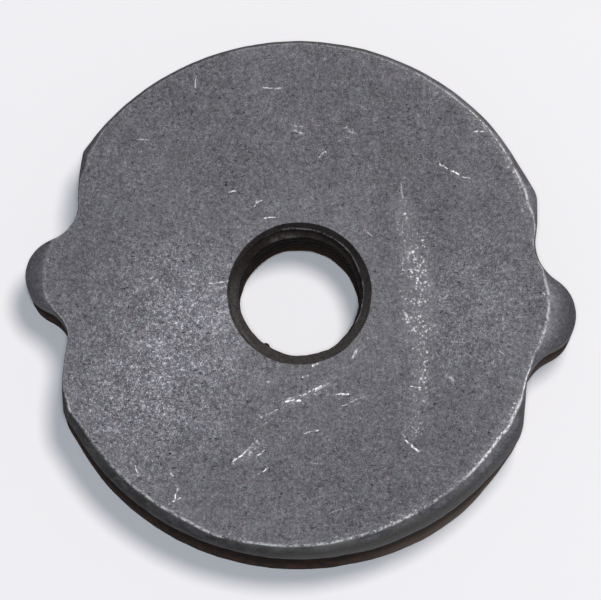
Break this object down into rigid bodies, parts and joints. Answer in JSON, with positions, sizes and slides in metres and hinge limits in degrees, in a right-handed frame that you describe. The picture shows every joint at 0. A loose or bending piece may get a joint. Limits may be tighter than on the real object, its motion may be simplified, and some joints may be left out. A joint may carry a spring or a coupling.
{
  "type": "wing nut",
  "caption": "Thick round steel plate nut with two opposite flats, a small rounded ear on each flat and a chamfered threaded hole through the middle.",
  "frame": {"origin": "on the thread's axis, on the lower face", "axes": "+Z along the thread's axis, out of the face whose edge is rolled over; +X through the tip of one ear"},
  "size_m": [0.0636, 0.06, 0.012],
  "materials": {
    "steel": "dark grey phosphated or pickled steel, matt, scuffed along the rim"
  },
  "bodies": {
    "root": {"nut": "steel"}
  },
  "joints": []
}
